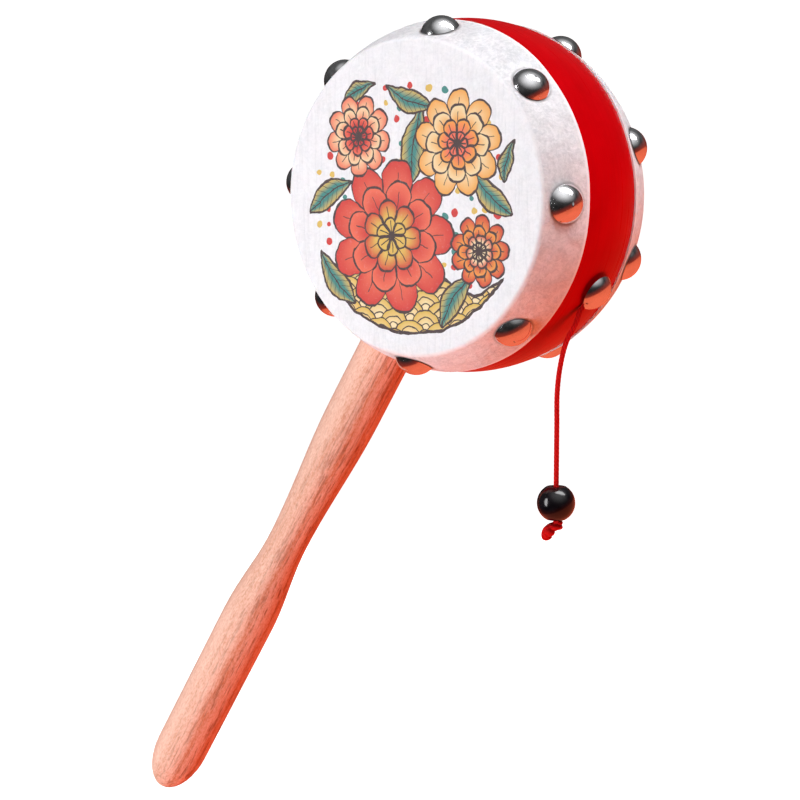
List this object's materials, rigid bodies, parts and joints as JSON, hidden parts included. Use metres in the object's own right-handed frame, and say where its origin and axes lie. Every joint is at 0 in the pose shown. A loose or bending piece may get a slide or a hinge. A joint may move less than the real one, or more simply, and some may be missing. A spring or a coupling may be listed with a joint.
{
  "type": "pellet drum rattle",
  "caption": "Two-headed toy drum on a turned wooden handle, with a bead on a cord at each side that strikes the heads when the handle is spun.",
  "frame": {"origin": "the middle of the grip's straight stretch, on the handle's axis, where a hand or a stand holds the rattle", "axes": "+Z is plumb up, because the cords hang; +Y is the drum's axis, from the front head to the rear head; the handle leans 32 degrees in the XZ plane with its butt end towards -X"},
  "size_m": [0.1652, 0.049, 0.2329],
  "materials": {
    "turned_wood": "turned softwood with a thin clear satin coat",
    "red_lacquer": "bright red gloss lacquer on wood",
    "drum_skin": "stretched white skin, smooth, with a printed front",
    "tack_metal": "bright plated domed nails",
    "red_cord": "thin twisted red cord",
    "black_bead": "gloss black"
  },
  "bodies": {
    "rattle": {"handle": "turned_wood", "shell": "red_lacquer", "front_head": "drum_skin", "rear_head": "drum_skin", "front_tacks": "tack_metal", "rear_tacks": "tack_metal", "right_cord_tack": "tack_metal", "left_cord_tack": "tack_metal", "right_cord_eye": "red_cord", "left_cord_eye": "red_cord"},
    "right_cord_neck": {"right_cord_neck": "red_cord"},
    "right_cord_upper": {"right_cord_upper": "red_cord"},
    "right_cord_lower": {"right_cord_lower": "red_cord", "right_knot": "red_cord"},
    "right_bead": {"right_bead": "black_bead"},
    "left_cord_neck": {"left_cord_neck": "red_cord"},
    "left_cord_upper": {"left_cord_upper": "red_cord"},
    "left_cord_lower": {"left_cord_lower": "red_cord", "left_knot": "red_cord"},
    "left_bead": {"left_bead": "black_bead"}
  },
  "joints": [
    {"name": "right_cord_lift", "type": "hinge", "parent": "rattle", "child": "right_cord_neck", "pos_m": [0.13177, -0.003, 0.12076], "axis": [0, 1, 0], "range_deg": [-90, 0]},
    {"name": "right_cord_swing", "type": "hinge", "parent": "right_cord_neck", "child": "right_cord_upper", "pos_m": [0.13127, -0.004, 0.11776], "axis": [-0.9933, 0, 0.1152], "range_deg": [-90, 90]},
    {"name": "right_cord_bend", "type": "hinge", "parent": "right_cord_upper", "child": "right_cord_lower", "pos_m": [0.12727, -0.0065, 0.08326], "axis": [0, 1, 0], "range_deg": [-80, 95]},
    {"name": "right_bead_slide", "type": "slide", "parent": "right_cord_lower", "child": "right_bead", "axis": [0, 0, -1], "range_m": [-0.005, 0]},
    {"name": "left_cord_lift", "type": "hinge", "parent": "rattle", "child": "left_cord_neck", "pos_m": [0.05077, 0.003, 0.17126], "axis": [-0.2585, -0.8889, -0.3782], "range_deg": [-90, 0]},
    {"name": "left_cord_swing", "type": "hinge", "parent": "left_cord_neck", "child": "left_cord_upper", "pos_m": [0.04927, 0.0045, 0.16876], "axis": [-0.9103, 0.0931, 0.4034], "range_deg": [0, 55]},
    {"name": "left_cord_bend", "type": "hinge", "parent": "left_cord_upper", "child": "left_cord_lower", "pos_m": [0.04677, 0.0145, 0.14626], "axis": [-0.2977, -0.9547, 0], "range_deg": [-80, 0]},
    {"name": "left_bead_slide", "type": "slide", "parent": "left_cord_lower", "child": "left_bead", "axis": [0, 0, -1], "range_m": [-0.004, 0]}
  ]
}
